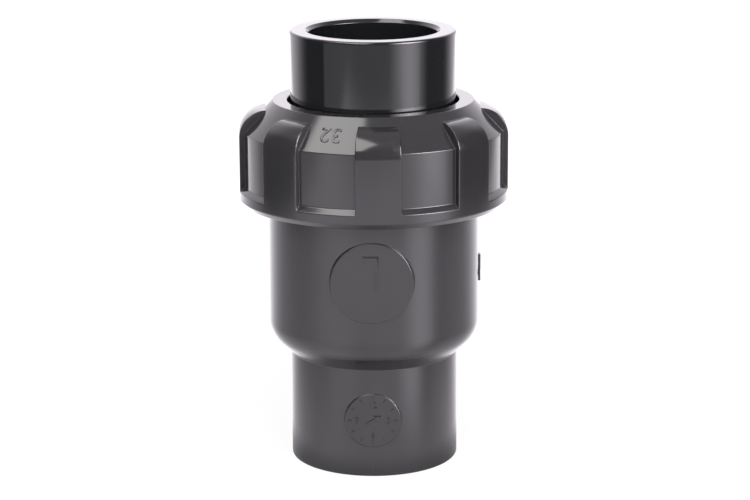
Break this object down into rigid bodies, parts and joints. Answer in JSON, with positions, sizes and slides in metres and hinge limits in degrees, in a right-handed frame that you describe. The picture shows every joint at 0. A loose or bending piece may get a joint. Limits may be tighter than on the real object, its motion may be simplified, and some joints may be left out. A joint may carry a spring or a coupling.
{
  "type": "union non-return valve",
  "caption": "Grey PVC-U union non-return valve: ribbed union nut and end connector on a socketed body, with a sprung poppet inside that stops backflow.",
  "frame": {"origin": "centre of the outlet socket's flat mouth, which is the lowest face", "axes": "+Z along the pipe axis from outlet to inlet, -Y towards the round pad on the body, +X towards the flow arrow"},
  "size_m": [0.0896, 0.0896, 0.145],
  "materials": {
    "body_pvc": "semi-gloss moulded dark grey PVC-U",
    "nut_pvc": "semi-gloss moulded dark grey PVC-U",
    "connector_pvc": "semi-gloss moulded dark grey PVC-U",
    "insert_pvc": "satin moulded dark grey PVC-U",
    "seal_rubber": "satin black EPDM",
    "stainless": "bright drawn stainless steel",
    "bush_plastic": "waxy white PTFE"
  },
  "bodies": {
    "valve_body": {"valve_body": "body_pvc", "seat_carrier": "insert_pvc", "connector_o_ring": "seal_rubber", "carrier_o_ring": "seal_rubber", "guide_cage": "insert_pvc", "guide_bush": "bush_plastic", "closing_spring": "stainless"},
    "connector": {"end_connector": "connector_pvc"},
    "nut": {"union_nut": "nut_pvc"},
    "poppet": {"poppet": "insert_pvc", "poppet_seal": "seal_rubber", "poppet_nose": "insert_pvc", "poppet_stem": "stainless", "stem_washer": "stainless", "stem_nut": "stainless", "stem_clip": "stainless"}
  },
  "joints": [
    {"name": "poppet_slide", "type": "slide", "parent": "valve_body", "child": "poppet", "axis": [0, 0, 1], "range_m": [-0.01, 0], "stiffness_N_per_m": 300, "springref_m": 0.01, "deforming": ["closing_spring"]},
    {"name": "union_lift", "type": "slide", "parent": "valve_body", "child": "connector", "axis": [0, 0, 1], "range_m": [0, 0.014]},
    {"name": "nut_turn", "type": "hinge", "parent": "connector", "child": "nut", "pos_m": [0, 0, 0.105], "axis": [0, 0, 1], "range_deg": [0, 1260]}
  ],
  "couplings": [
    {"joint": "union_lift", "follows": "nut_turn", "m_per_rad": 0.00063662}
  ]
}
